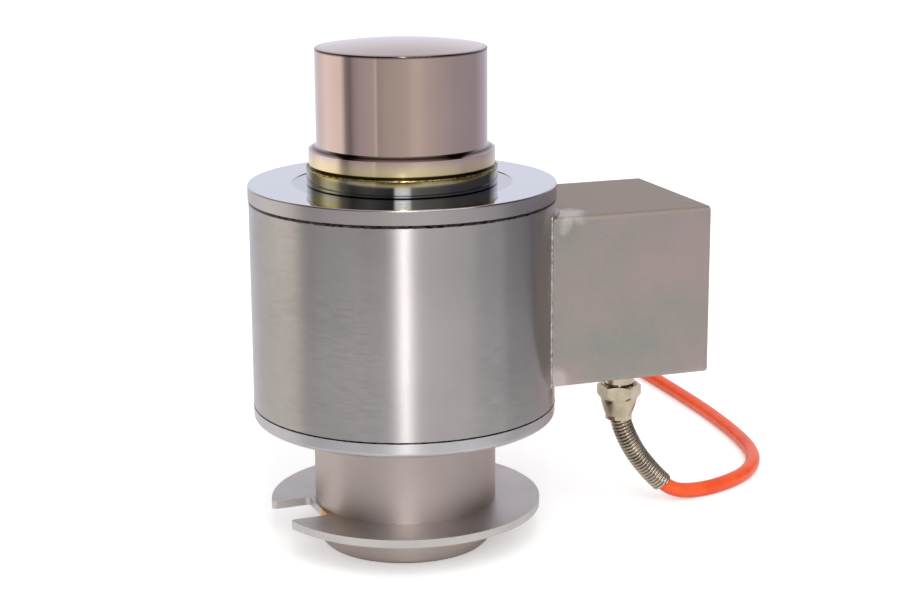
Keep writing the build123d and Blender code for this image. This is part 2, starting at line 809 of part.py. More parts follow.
boot_outer_x = pin_outer_x + loom_boot_length
with BuildPart() as trim_loom:
    tube_along(
        [
            (boot_outer_x, 0, box_mid_z),
            (boot_outer_x + loom_run_out, 0, box_mid_z),
            (board_x, trim_plug_y - loom_run_in, trim_plug_z),
            (board_x, trim_plug_y, trim_plug_z),
        ],
        loom_radius,
    )
    with BuildSketch(feed_axis.offset(pin_outer_x - feed_face_x)):
        Circle(loom_boot_radius)
    extrude(amount=loom_boot_length)
trim_loom.part.label = "trim_loom"
export_step(trim_loom.part, "parts/trim_loom.step")

# Cable gland: body through the box's floor, washer outside and lock nut inside
gland_body_top_z = box_z - gland_washer_thickness
gland_body_z = gland_body_top_z - gland_body_height
gland_top_z = box_floor_z + lock_nut_height + gland_top_reach
nut_top_z = gland_body_z - gland_neck
nut_hex_z = nut_top_z - nut_hex_height
nut_tip_z = nut_hex_z - nut_nose_height
thread_low_z = nut_top_z - nut_grip
claw_z = thread_low_z - claw_height
cable_bore_radius = cable_radius + free_clearance
gland_axis = Axis((gland_x, 0, 0), (0, 0, 1))
gland_plane = Plane(origin=(gland_x, 0, 0), x_dir=(1, 0, 0), z_dir=(0, -1, 0))
chamfer_slope = tan(radians(30))


def corner_radius(across_flats):
    """Distance from a hexagon's middle to its corners."""
    return across_flats / 2 / cos(radians(30))


def gland_ring(z, height, outer, inner):
    """Ring round the gland's axis inside the part in hand."""
    with BuildSketch(Plane(origin=(gland_x, 0, z))) as ring:
        Circle(outer)
        Circle(inner, mode=Mode.SUBTRACT)
    extrude(ring.sketch, amount=height)


def gland_hexagon(z, height, across_flats, turn, low_chamfer, low_radius, top_chamfer):
    """Hexagon round the gland's axis, its corners bevelled at both ends."""
    corner = corner_radius(across_flats)
    with BuildSketch(Plane(origin=(gland_x, 0, z))) as hexagon:
        RegularPolygon(across_flats / 2, 6, major_radius=False, rotation=turn)
    extrude(hexagon.sketch, amount=height)
    with BuildSketch(gland_plane) as bevels:
        Polygon(
            (0, z),
            (low_radius, z),
            (corner, z + low_chamfer),
            (corner, z + height - top_chamfer),
            (corner - top_chamfer / chamfer_slope, z + height),
            (0, z + height),
            align=None,
        )
    revolve(bevels.sketch, axis=gland_axis, mode=Mode.INTERSECT)


with BuildPart() as gland_washer:
    gland_ring(
        gland_body_top_z,
        gland_washer_thickness,
        gland_washer_radius,
        gland_thread_radius + fit_clearance,
    )
gland_washer.part.label = "gland_washer"
export_step(gland_washer.part, "parts/gland_washer.step")

with BuildPart() as gland_body:
    gland_hexagon(
        gland_body_z,
        gland_body_height,
        gland_across_flats,
        gland_body_turn,
        nut_top_chamfer,
        corner_radius(gland_across_flats) - nut_top_chamfer / chamfer_slope,
        nut_top_chamfer,
    )
    with BuildSketch(gland_plane):
        Polygon(
            (0, thread_low_z),
            (gland_thread_radius, thread_low_z),
            (gland_thread_radius, gland_top_z),
            (0, gland_top_z),
            align=None,
        )
    revolve(axis=gland_axis)
    with BuildSketch(gland_plane):
        Polygon(
            (0, thread_low_z),
            (seal_radius, thread_low_z),
            (seal_radius, thread_low_z + seal_height),
            (cable_bore_radius, thread_low_z + seal_height),
            (cable_bore_radius, gland_top_z),
            (0, gland_top_z),
            align=None,
        )
    revolve(axis=gland_axis, mode=Mode.SUBTRACT)
gland_body.part.label = "gland_body"
export_step(gland_body.part, "parts/gland_body.step")

with BuildPart() as gland_lock_nut:
    gland_hexagon(
        box_floor_z,
        lock_nut_height,
        lock_nut_across_flats,
        gland_body_turn,
        nut_top_chamfer,
        corner_radius(lock_nut_across_flats) - nut_top_chamfer / chamfer_slope,
        nut_top_chamfer,
    )
    with BuildSketch(Plane(origin=(gland_x, 0, box_floor_z))):
        Circle(gland_thread_radius + fit_clearance)
    extrude(amount=lock_nut_height, mode=Mode.SUBTRACT)
gland_lock_nut.part.label = "gland_lock_nut"
export_step(gland_lock_nut.part, "parts/gland_lock_nut.step")

with BuildPart() as gland_seal:
    gland_ring(
        thread_low_z, seal_height, seal_radius - fit_clearance, cable_radius + fit_clearance
    )
gland_seal.part.label = "gland_seal"
export_step(gland_seal.part, "parts/gland_seal.step")

with BuildPart() as gland_claw:
    gland_ring(claw_z, claw_height, seal_radius, cable_bore_radius)
gland_claw.part.label = "gland_claw"
export_step(gland_claw.part, "parts/gland_claw.step")

# Gland nut: bevelled hexagon over a curved nose that flares round the cable's spring
nose_low_z = nut_tip_z + nut_tip_height
nose_middle = (
    (nut_nose_radius + nut_tip_radius) / 2 + nut_nose_bulge,
    (nut_hex_z + nose_low_z) / 2,
)
with BuildPart() as gland_nut:
    gland_hexagon(
        nut_hex_z,
        nut_hex_height,
        gland_across_flats,
        nut_turn,
        nut_low_chamfer,
        nut_nose_radius,
        nut_top_chamfer,
    )
    with BuildSketch(gland_plane):
        with BuildLine():
            Polyline(
                (nut_tip_radius, nose_low_z),
                (nut_tip_radius, nut_tip_z),
                (0, nut_tip_z),
                (0, nut_hex_z),
                (nut_nose_radius, nut_hex_z),
            )
            ThreePointArc((nut_nose_radius, nut_hex_z), nose_middle, (nut_tip_radius, nose_low_z))
        make_face()
    revolve(axis=gland_axis)
    with BuildSketch(gland_plane):
        Polygon(
            (0, nut_top_z),
            (gland_thread_radius + fit_clearance, nut_top_z),
            (gland_thread_radius + fit_clearance, thread_low_z),
            (seal_radius + fit_clearance, thread_low_z),
            (seal_radius + fit_clearance, claw_z),
            (spring_radius + free_clearance, claw_z),
            (nut_tip_radius - nut_tip_wall, nut_tip_z),
            (0, nut_tip_z),
            align=None,
        )
    revolve(axis=gland_axis, mode=Mode.SUBTRACT)
gland_nut.part.label = "gland_nut"
export_step(gland_nut.part, "parts/gland_nut.step")

# Cores inside the box: from the cable's jacket up to the terminal block, the ones that start
# nearest to the block bending lowest
jacket_end_z = gland_top_z - jacket_inset
with BuildPart() as inner_cores:
    for place, (turn, rise) in enumerate(zip(core_turns, core_rises)):
        start_x = gland_x + core_circle * cos(radians(turn))
        start_y = core_circle * sin(radians(turn))
        entry_x = board_x + (place - (core_count - 1) / 2) * terminal_pitch
        tube_along(
            [
                (start_x, start_y, jacket_end_z),
                (start_x, start_y, jacket_end_z + rise),
                (entry_x, entry_y, block_z - core_run_in),
                (entry_x, entry_y, block_z + core_grip),
            ],
            core_radius,
        )
inner_cores.part.label = "inner_cores"
export_step(inner_cores.part, "parts/inner_cores.step")

# Coil of spare cable behind the cell, its lowest outer turn open where the cable runs in
coil_inner_radius = coil_mean_radius - coil_columns * cable_radius
coil_outer_radius = coil_mean_radius + coil_columns * cable_radius
coil_z = tie_thickness
coil_top_z = coil_z + 2 * coil_layers * cable_radius
join_z = coil_z + cable_radius
join_radius = coil_outer_radius - cable_radius
coil_axis = Axis((coil_x, coil_y, 0), (0, 0, 1))


def coil_point(radius, turn, z):
    """Point at a radius and turn about the coil's axis."""
    x, y, z = polar(radius, turn, z)
    return (coil_x + x, coil_y + y, z)


def coil_section(turn):
    """Plane through the coil's axis at a turn, its local X outward and local Y up."""
    return Plane(origin=(coil_x, coil_y, 0), x_dir=polar(1, turn, 0), z_dir=polar(1, turn - 90, 0))


join = coil_point(join_radius, coil_entry_turn, join_z)
run_in = Vector(*polar(coil_entry_run, coil_entry_turn + 90, 0))
entry_start = Vector(*join) - run_in

# Cable: down out of the gland, over to the floor and round behind the cell to the coil
cable_route = [
    (gland_x, 0, jacket_end_z),
    (gland_x, 0, nut_tip_z),
    (gland_x + 8.0, 0, 32.5),
    (gland_x + 18.0, 0, 19.2),
    (gland_x + 30.5, 0, 6.6),
    (gland_x + 43.5, 0, cable_radius),
    (181.0, 3.0, cable_radius),
    (206.0, 17.0, cable_radius),
    (224.0, 42.0, cable_radius),
    (233.0, 78.0, cable_radius),
    (238.0, 128.0, cable_radius),
    (239.5, 180.0, cable_radius),
    (240.0, 232.0, cable_radius),
    (239.0, 283.0, cable_radius),
    tuple(entry_start),
    join,
]
cable_radii = corner_radii(cable_route)
with BuildPart() as cable:
    cable_length = tube_along(cable_route, cable_radius, cable_radii)
cable.part.label = "cable"
export_step(cable.part, "parts/cable.step")

# Spring round the cable where it leaves the gland, drawn as the tube that its turns fill
last_run = Vector(*cable_route[4]) - Vector(*cable_route[3])
next_run = Vector(*cable_route[5]) - Vector(*cable_route[4])
arc_reach = bend_share * min(last_run.length, next_run.length)
spring_end = Vector(*cable_route[4]) - last_run.normalized() * arc_reach
with BuildPart() as strain_spring:
    with BuildLine() as spring_line:
        FilletPolyline(*cable_route[:4], tuple(spring_end), radius=cable_radii[:3])
    with BuildSketch(Plane(origin=spring_line.wire() @ 0, z_dir=spring_line.wire() % 0)):
        Circle(spring_radius)
        Circle(cable_radius + fit_clearance, mode=Mode.SUBTRACT)
    sweep(path=spring_line.wire())
    split(bisect_by=Plane.XY.offset(nut_tip_z + spring_hold), keep=Keep.BOTTOM)
strain_spring.part.label = "strain_spring"
export_step(strain_spring.part, "parts/strain_spring.step")

# Coil, solid over the room that its turns take
with BuildPart() as cable_coil:
    with BuildSketch(coil_section(0)):
        with Locations((coil_mean_radius, (coil_z + coil_top_z) / 2)):
            RectangleRounded(
                coil_outer_radius - coil_inner_radius, coil_top_z - coil_z, coil_edge_radius
            )
    revolve(axis=coil_axis)
    notch_plane = Plane(origin=(join[0], join[1], coil_z), x_dir=run_in, z_dir=(0, 0, 1))
    with BuildSketch(notch_plane):
        with Locations((0, cable_radius + notch_clearance)):
            Rectangle(coil_outer_radius, coil_outer_radius, align=(Align.MAX, Align.MAX))
    extrude(amount=2 * cable_radius + free_clearance, mode=Mode.SUBTRACT)
cable_coil.part.label = "cable_coil"
export_step(cable_coil.part, "parts/cable_coil.step")

# Cable's free end, wound inward on top of the coil in half turns about two centres
tail_z = coil_top_z + cable_radius + fit_clearance
tail_pitch = 2 * cable_radius + free_clearance
tail_centres = (
    coil_point(0, tail_start_turn, tail_z),
    coil_point(tail_pitch / 2, tail_start_turn + 180, tail_z),
)
with BuildPart() as cable_tail:
    with BuildLine() as tail_line:
        for place in range(tail_half_turns):
            CenterArc(
                center=tail_centres[place % 2],
                radius=join_radius - place * tail_pitch / 2,
                start_angle=tail_start_turn + 180 * place,
                arc_size=180,
            )
    with BuildSketch(Plane(origin=tail_line.wire() @ 0, z_dir=tail_line.wire() % 0)):
        Circle(cable_radius)
    sweep(path=tail_line.wire())
cable_tail.part.label = "cable_tail"
export_step(cable_tail.part, "parts/cable_tail.step")

# Ties round the coil and the free end
tie_sections = [coil_section(turn) for turn in tie_turns]
tie_inner = coil_inner_radius - tie_clearance
tie_outer = coil_outer_radius + tie_clearance
tie_top_z = tail_z + cable_radius + tie_clearance
tie_outline = (
    (tie_inner, coil_z),
    (tie_outer, coil_z),
    (tie_outer, tie_top_z - cable_radius / 2),
    (join_radius + cable_radius / 2, tie_top_z),
    (join_radius - tail_pitch - cable_radius / 2, tie_top_z),
    (tie_inner, coil_top_z),
)
with BuildPart() as cable_ties:
    with BuildSketch(*tie_sections):
        Polygon(*tie_outline, align=None)
        offset(amount=tie_thickness, kind=Kind.INTERSECTION)
        Polygon(*tie_outline, mode=Mode.SUBTRACT, align=None)
    extrude(amount=tie_width / 2, both=True)
    with BuildSketch(*tie_sections):
        with Locations((tie_outer + tie_thickness, (coil_z + coil_top_z) / 2)):
            Rectangle(tie_head_depth, tie_head_height, align=(Align.MIN, Align.CENTER))
    extrude(amount=tie_head_width / 2, both=True)
cable_ties.part.label = "cable_ties"
export_step(cable_ties.part, "parts/cable_ties.step")

# Bare cores at the free end, fanned out over the coil, with a ferrule on each
tail_end = tail_line.wire() @ 1
ahead = tail_line.wire() % 1
outward = Vector(ahead.Y, -ahead.X, 0)
core_rest_z = coil_top_z + ferrule_radius + fit_clearance


def fan_point(along, across, z):
    """Point ahead of the free end, with the distance outward from the coil's axis."""
    return tail_end + ahead * along + outward * across + Vector(0, 0, z - tail_z)


fan_tips = []
with BuildPart() as bare_cores:
    for place, turn in enumerate(fan_turns):
        across = core_circle * cos(radians(turn))
        up = core_circle * sin(radians(turn))
        spread = (place - (core_count - 1) / 2) * bare_core_pitch
        fan_route = [
            fan_point(0, across, tail_z + up),
            fan_point(fan_run_out, across, tail_z + up),
            fan_point(fan_bend, spread - fan_bend_in, core_rest_z),
            fan_point(bare_core_length, spread - fan_turn_in, core_rest_z),
        ]
        tube_along([tuple(point) for point in fan_route], core_radius)
        fan_tips.append(Plane(origin=fan_route[3], z_dir=fan_route[3] - fan_route[2]))
bare_cores.part.label = "bare_cores"
export_step(bare_cores.part, "parts/bare_cores.step")

with BuildPart() as core_ferrules:
    with BuildSketch(*fan_tips):
        Circle(ferrule_radius)
    extrude(amount=ferrule_length)
core_ferrules.part.label = "core_ferrules"
export_step(core_ferrules.part, "parts/core_ferrules.step")

# The cable's bends, volume and whole length
section_area = Circle(cable_radius, mode=Mode.PRIVATE).area
coil_length = radians(360) * coil_mean_radius * coil_turns
tail_length = tail_line.wire().length
print("cable bend radii:", [round(radius, 1) for radius in cable_radii])
print("cable volume over section times length:", cable.part.volume / section_area / cable_length)
print("cable length, mm:", round(cable_length + coil_length + tail_length))
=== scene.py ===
import math

import bpy
from mathutils import Matrix, Vector


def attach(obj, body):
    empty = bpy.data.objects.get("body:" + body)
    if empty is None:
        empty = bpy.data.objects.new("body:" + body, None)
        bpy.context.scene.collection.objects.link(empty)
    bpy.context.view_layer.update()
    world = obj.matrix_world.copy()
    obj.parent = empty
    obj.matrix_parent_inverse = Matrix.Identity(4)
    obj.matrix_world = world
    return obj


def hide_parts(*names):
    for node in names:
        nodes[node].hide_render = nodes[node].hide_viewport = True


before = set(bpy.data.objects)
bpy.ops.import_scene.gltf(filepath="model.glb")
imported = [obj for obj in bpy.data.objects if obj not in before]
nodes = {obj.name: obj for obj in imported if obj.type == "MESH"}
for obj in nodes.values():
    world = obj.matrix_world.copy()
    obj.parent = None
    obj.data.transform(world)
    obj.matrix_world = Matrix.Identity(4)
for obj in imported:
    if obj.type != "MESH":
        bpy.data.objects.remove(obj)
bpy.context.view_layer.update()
mm = 0.001
white = (1, 1, 1, 1)


def linear(hexColour):
    # sRGB hex to the linear colour that the sockets hold
    parts = [int(hexColour[at:at + 2], 16) / 255 for at in (1, 3, 5)]
    return [c / 12.92 if c < 0.04045 else ((c + 0.055) / 1.055) ** 2.4 for c in parts] + [1.0]


def setNode(tree, node, values):
    # sets the node's own settings and its sockets' values, and links in what is an output
    for name, value in values.items():
        if isinstance(value, bpy.types.NodeSocket):
            tree.links.new(value, node.inputs[name])
        elif isinstance(name, str) and hasattr(node, name):
            setattr(node, name, value)
        else:
            node.inputs[name].default_value = value


def addNode(tree, kind, values=None):
    node = tree.nodes.new(kind)
    setNode(tree, node, values or {})
    return node


def objectPlace(tree, scale=None):
    # the surface's own place, or that place stretched so that a pattern runs the way of the work
    where = addNode(tree, "ShaderNodeTexCoord").outputs["Object"]
    if scale is None:
        return where
    return addNode(tree, "ShaderNodeMapping", {"Scale": scale, "Vector": where}).outputs[0]


def heightOf(tree, where):
    return addNode(tree, "ShaderNodeSeparateXYZ", {"Vector": where}).outputs["Z"]


def lengthOf(tree, where):
    values = {"operation": "LENGTH", 0: where}
    return addNode(tree, "ShaderNodeVectorMath", values).outputs["Value"]


def combine(tree, operation, *terms):
    # each term is a number or an output
    values = {"operation": operation, **dict(enumerate(terms))}
    return addNode(tree, "ShaderNodeMath", values).outputs[0]


def spread(tree, value, low, high, toLow=0.0, toHigh=1.0):
    # a run of values from low to high becomes one from toLow to toHigh, and stops there
    run = {"Value": value, "From Min": low, "From Max": high, "To Min": toLow, "To Max": toHigh}
    return addNode(tree, "ShaderNodeMapRange", run).outputs[0]


def noise(tree, where, waves, detail, roughness=0.5):
    # waves: about how many go to a metre
    values = {"Vector": where, "Scale": waves, "Detail": detail, "Roughness": roughness}
    return addNode(tree, "ShaderNodeTexNoise", values).outputs["Fac"]


def toneRamp(tree, value, stops):
    # stops: (place from 0 to 1, sRGB hex or a grey)
    node = addNode(tree, "ShaderNodeValToRGB", {"Fac": value})
    elements = node.color_ramp.elements
    for at, (where, tone) in enumerate(stops):
        element = elements[at] if at < len(elements) else elements.new(where)
        element.position = where
        element.color = linear(tone) if isinstance(tone, str) else (tone, tone, tone, 1)
    return node.outputs["Color"]


def mix(tree, factor, under, over, blend="MIX"):
    values = {"data_type": "RGBA", "blend_type": blend, "Factor": factor, "A": under, "B": over}
    return addNode(tree, "ShaderNodeMix", values).outputs["Result"]


def mixShaders(tree, factor, under, over):
    return addNode(tree, "ShaderNodeMixShader", {0: factor, 1: under, 2: over}).outputs[0]


def raised(tree, height, strength, depth):
    # a bump of this depth in mm
    values = {"Height": height, "Strength": strength, "Distance": depth * mm}
    return addNode(tree, "ShaderNodeBump", values).outputs[0]


def newMaterial(name):
    material = bpy.data.materials.new(name)
    material.use_nodes = True
    tree = material.node_tree
    tree.nodes.clear()
    shader = addNode(tree, "ShaderNodeBsdfPrincipled")
    addNode(tree, "ShaderNodeOutputMaterial", {"Surface": shader.outputs["BSDF"]})
    return material, tree, shader


def dress(material, *names):
    for name in names:
        piece = nodes[name] if name in nodes else bpy.data.objects[name]
        piece.data.materials.clear()
        piece.data.materials.append(material)


def addObject(name, data):
    made = bpy.data.objects.new(name, data)
    bpy.context.scene.collection.objects.link(made)
    return made


# camera at the photograph's viewing angle
camera = {
    "place": (-0.3125, -0.9455, 0.36575),
    "ahead": (0.32648, 0.91533, -0.23578),
    "right": (0.94143, -0.33716, -0.00530),
    "lens": 81.71,
    "sensor": 36.0,
    "clip": (0.05, 20.0),
}


def setCamera():
    data = bpy.data.cameras.new("photoCamera")
    data.lens = camera["lens"]
    data.sensor_width = camera["sensor"]
    data.clip_start, data.clip_end = camera["clip"]
    eye = addObject("photoCamera", data)
    ahead = Vector(camera["ahead"]).normalized()
    right = Vector(camera["right"])
    right = (right - ahead * right.dot(ahead)).normalized()
    turn = Matrix((right, right.cross(ahead), -ahead)).transposed()
    eye.matrix_world = Matrix.Translation(camera["place"]) @ turn.to_4x4()
    bpy.context.scene.camera = eye
    print("camera set")


setCamera()

cable = {
    "radius": 4.0,
    "exit": (119.0, 0.0, 83.8),
    # gland's tip, through the spring to the floor and round behind the cell
    "route": (
        (119.0, 0.0, 89.0),
        (119.0, 0.0, 69.6),
        (119.0, 0.0, 50.2),
        (127.0, 0.0, 32.5),
        (137.0, 0.0, 19.2),
        (149.5, 0.0, 6.6),
        (162.5, 0.0, 4.0),
        (181.0, 3.0, 4.0),
        (206.0, 17.0, 4.0),
        (224.0, 42.0, 4.0),
        (233.0, 78.0, 4.0),
        (238.0, 128.0, 4.0),
        (239.5, 180.0, 4.0),
        (240.0, 232.0, 4.0),
        (239.0, 283.0, 4.0),
        (232.91, 327.56, 5.3),
    ),
    "coilMiddle": (136.7, 318.2),
    "joinTurn": 30.0,         # degrees round the coil where the cable joins it
    "joinRadius": 88.0,
    "firstLevel": 5.3,
    "turnPitch": 8.0,
    "layers": 4,
    "laps": 4,                # steps inward or outward in a layer
    "step": 15.0,             # degrees between the spline's points: 24 points a turn
    "longRun": 21,            # steps laid level before a strand moves over
    "shortRun": 18,
    "moveOver": 3,            # steps that a strand takes to move over or up
    "topPitch": 8.3,
    "topLevel": 37.35,
    "topHalfTurns": 3,
}
halfTurn = 180


def coilPoint(turn, out, level, shift=0.0, away=0.0):
    # a point round the coil's middle, or round one shifted from it: the turns in degrees
    x, y = cable["coilMiddle"]
    turn, away = math.radians(turn), math.radians(away)
    return (
        x + shift * math.cos(away) + out * math.cos(turn),
        y + shift * math.sin(away) + out * math.sin(turn),
        level,
    )


def coilPoints():
    # points round the coil: each layer steps inward or outward, then climbs to the next
    step = cable["step"]
    reach = 1 / math.cos(math.radians(step / 2))     # the curve lies inside its points
    turn, radius, level = cable["joinTurn"], cable["joinRadius"], cable["firstLevel"]
    points = []

    def advance(steps, sideways=0.0, upward=0.0):
        nonlocal turn, radius, level
        for each in range(steps):
            part = (each + 0.5) / steps
            out = (radius + sideways * part) * reach
            points.append(coilPoint(turn + (each + 0.5) * step, out, level + upward * part))
        turn += steps * step
        radius += sideways
        level += upward

    for layer in range(cable["layers"]):
        sideways = cable["turnPitch"] * (1 if layer % 2 else -1)
        for lap in range(cable["laps"]):
            advance(cable["longRun"] if lap or not layer else cable["shortRun"])
            advance(cable["moveOver"], sideways=sideways)
        advance(cable["shortRun"])
        last = layer == cable["layers"] - 1
        upward = cable["topLevel"] - level if last else cable["turnPitch"]
        advance(cable["moveOver"], upward=upward)

    # free end, wound inward on top in half turns about two centres
    top = cable["topLevel"]
    for half in range(cable["topHalfTurns"]):
        shift = (half % 2) * cable["topPitch"] / 2
        out = cable["joinRadius"] - half * cable["topPitch"] / 2
        start = turn + half * halfTurn
        for each in range(int(halfTurn / step)):
            at = start + (each + 0.5) * step
            points.append(coilPoint(at, out * reach, top, shift, turn + halfTurn))
    points.append(coilPoint(turn + cable["topHalfTurns"] * halfTurn, out, top))
    return points


def curveThrough(name, points, radii=None, closed=False, resolution=6, sides=5):
    # one smooth NURBS curve in metres: its points are in mm, and so is the radius at each
    data = bpy.data.curves.new(name, "CURVE")
    data.dimensions = "3D"
    data.bevel_depth = 1.0 if radii else 0.0
    data.bevel_resolution = sides
    data.use_fill_caps = bool(radii) and not closed
    spline = data.splines.new("NURBS")
    spline.points.add(len(points) - 1)
    for point, where, radius in zip(spline.points, points, radii or [0.0] * len(points)):
        point.co = (where[0] * mm, where[1] * mm, where[2] * mm, 1)
        point.radius = radius * mm     # here, because the curve's own box is made from it
    spline.order_u = 3                 # quadratic, which stays close to its points
    spline.use_cyclic_u = closed
    spline.use_endpoint_u = not closed
    spline.resolution_u = resolution
    return addObject(name, data)


def linePoints(name, points, resolution):
    # the same spline read back as a fine line of points, for what lies along it
    curve = curveThrough(name, points, resolution=resolution)
    bpy.context.view_layer.update()
    mesh = bpy.data.meshes.new_from_object(curve)
    line = [vertex.co.copy() for vertex in mesh.vertices]
    bpy.data.meshes.remove(mesh)
    bpy.data.objects.remove(curve)
    return line


cablePoints = list(cable["route"]) + coilPoints()
cablePiece = curveThrough("cableJacket", cablePoints, [cable["radius"]] * len(cablePoints))
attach(cablePiece, "root")
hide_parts("cable", "cable_coil", "cable_tail")
print("cable laid")

spring = {
    "wire": 0.87,             # half of the wire's 1.74 mm
    "mean": 4.93,             # middle of the wire round the cable's axis
    "pitch": 1.86,
    "routePoints": 9,         # how far along the cable's route the spring is wound
    "lineSteps": 60,
    "top": 56.0,              # inside the nut's nose
    "low": 10.94,
    "perTurn": 14,
    "curveSteps": 2,          # between points
    "sides": 2,
}


def windSpring():
    # close coil that follows the cable's own line from the nut's nose to its lower end
    line = linePoints("springLine", cable["route"][:spring["routePoints"]], spring["lineSteps"])
    line = [p / mm for p in line if spring["low"] <= p.z / mm <= spring["top"]]
    runs = [0.0]
    for a, b in zip(line, line[1:]):
        runs.append(runs[-1] + (b - a).length)
    turns = runs[-1] / spring["pitch"]
    count = int(turns * spring["perTurn"])
    points = []
    side = Vector((0, 1, 0))
    at = 0
    for each in range(count + 1):
        run = runs[-1] * each / count
        while at < len(runs) - 2 and runs[at + 1] < run:
            at += 1
        share = (run - runs[at]) / (runs[at + 1] - runs[at])
        middle = line[at].lerp(line[at + 1], share)
        ahead = (line[at + 1] - line[at]).normalized()
        side = (side - ahead * side.dot(ahead)).normalized()
        turn = math.tau * turns * each / count
        points.append(
            middle + (side * math.cos(turn) + ahead.cross(side) * math.sin(turn)) * spring["mean"]
        )
    wire = [spring["wire"]] * len(points)
    piece = curveThrough(
        "springWire", points, wire, resolution=spring["curveSteps"], sides=spring["sides"]
    )
    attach(piece, "root")
    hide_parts("strain_spring")
    print("spring wound,", round(turns, 1), "turns")
    return piece


springPiece = windSpring()

# weld beads: closed rings, and a line round the box, all with a rippled surface
ringBeads = {
    # slot, mm of radius, level, half width and ripple, and how tall it is for its width
    "topSeamBead": ("housing_steel", 75.5, 177.2, 0.7, 0.4, 2.0),
    "bottomSeamBead": ("housing_steel", 75.75, 73.0, 0.45, 0.15, 1.2),
    "sleeveSeamBead": ("sleeve_steel", 46.9, 192.95, 0.5, 0.3, 1.0),
}
beadShape = {
    "ringSteps": 720,
    "ringSides": 9,
    "grain": 1.6,             # mm across a ripple
    "grainDetail": 2,
}
boxSeam = {
    "face": 43.8,             # half of the box's width
    "levels": (83.8, 169.6),
    "housing": 76.0,          # radius of the tube that the box is welded to
    "radius": 0.75,
    "cornerRadius": 1.9,      # swelling at the upper front corner
    "cornerSteps": range(1, 9),
    "steps": 40,              # along each of the four sides
    "sides": 2,
    "ripple": 0.5,
}


def ripple(piece, strength):
    # a bead's uneven surface, from a cloud texture pushed along the normals
    texture = bpy.data.textures.new(piece.name + "Ripple", "CLOUDS")
    texture.noise_scale = beadShape["grain"] * mm
    texture.noise_depth = beadShape["grainDetail"]
    push = piece.modifiers.new("ripple", "DISPLACE")
    push.texture = texture
    push.texture_coords = "LOCAL"
    push.strength = strength * mm
    push.mid_level = 0.5
    bpy.ops.object.modifier_apply(modifier=push.name)
    bpy.ops.object.shade_smooth()


def ringBead(name, slot, radius, level, halfWidth, rippleSize, tall):
    bpy.ops.object.select_all(action="DESELECT")
    bpy.ops.mesh.primitive_torus_add(
        major_radius=radius * mm,
        minor_radius=halfWidth * mm,
        major_segments=beadShape["ringSteps"],
        minor_segments=beadShape["ringSides"],
        location=(0, 0, level * mm),
    )
    bead = bpy.context.object
    bead.name = name
    bead.scale.z = tall
    bpy.ops.object.transform_apply(location=True, rotation=True, scale=True)
    ripple(bead, rippleSize)
    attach(bead, "root")


def boxBead():
    # all round the box where it meets the housing: up the front, over, down the back, under
    low, high = boxSeam["levels"]
    steps, outside = boxSeam["steps"], boxSeam["housing"]
    side = math.asin(boxSeam["face"] / outside)
    corners = [(-side, low), (-side, high), (side, high), (side, low)]
    points, radii = [], []
    for (turn, level), (nextTurn, nextLevel) in zip(corners, corners[1:] + corners[:1]):
        for each in range(steps):
            at = turn + (nextTurn - turn) * each / steps
            height = level + (nextLevel - level) * each / steps
            points.append((outside * math.cos(at), outside * math.sin(at), height))
            swollen = level == nextLevel == high and each in boxSeam["cornerSteps"]
            radii.append(boxSeam["cornerRadius"] if swollen else boxSeam["radius"])
    bead = curveThrough("boxSeamBead", points, radii, closed=True, sides=boxSeam["sides"])
    bpy.ops.object.select_all(action="DESELECT")
    bead.select_set(True)
    bpy.context.view_layer.objects.active = bead
    bpy.ops.object.convert(target="MESH")
    bead = bpy.context.object
    ripple(bead, boxSeam["ripple"])
    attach(bead, "root")


for name, sizes in ringBeads.items():
    ringBead(name, *sizes)
boxBead()
print("weld beads laid")

# load column: alloy steel bar under thin nickel plating. The head is polished to a mirror, with its
# shoulder and a line at its rim painted near black as painted reflection, and the bar is left with a
# satin ground finish
columnFinish = {
    "top": 254.9,
    # height in mm, colour, roughness
    "levels": (
        (0.0, "#ccbfb9", 0.46),
        (18.0, "#ccbfb9", 0.46),
        (19.0, "#c6b9b6", 0.50),
        (190.0, "#c6b9b6", 0.50),
        (192.6, "#6b5a34", 0.30),
        (194.4, "#4a3d22", 0.30),
        (195.0, "#f0deae", 0.22),
        (198.4, "#e6d3b4", 0.18),
        (200.8, "#d6c4bc", 0.10),
        (202.2, "#cbb5ad", 0.05),
        # painted reflection: the shoulder band under the head is painted near black
        (202.4, "#2b2322", 0.08),
        (203.9, "#2b2322", 0.08),
        (204.1, "#cbb5ad", 0.05),
        (250.7, "#cbb5ad", 0.05),
        # painted reflection: a near black line painted round the head's rim
        (250.9, "#1b1615", 0.22),
        (251.4, "#1b1615", 0.22),
        (251.6, "#cbb5ad", 0.05),
        (254.9, "#cbb5ad", 0.05),
    ),
    "marks": 0.5,             # mm between turning marks, coarser than the real ones
    "markWaves": 12,          # to a metre round the bar
    "markDepth": 0.1,
    "markStrength": 0.16,
    "satin": (0.05, 0.3),     # roughness where the marks begin to show and where they are full
    "cloud": 45.0,            # mm across the soft changes of tone
    "cloudStrength": 0.22,
    "brushed": 0.5,
}


def brushAround(tree, shader, strength):
    # marks that run round the axis spread a highlight up and down the wall
    around = addNode(tree, "ShaderNodeTangent", {"direction_type": "RADIAL", "axis": "Z"})
    marks = {
        "Tangent": around.outputs[0],
        "Anisotropic": strength,
        "Anisotropic Rotation": 0.25,     # a quarter turn
    }
    setNode(tree, shader, marks)


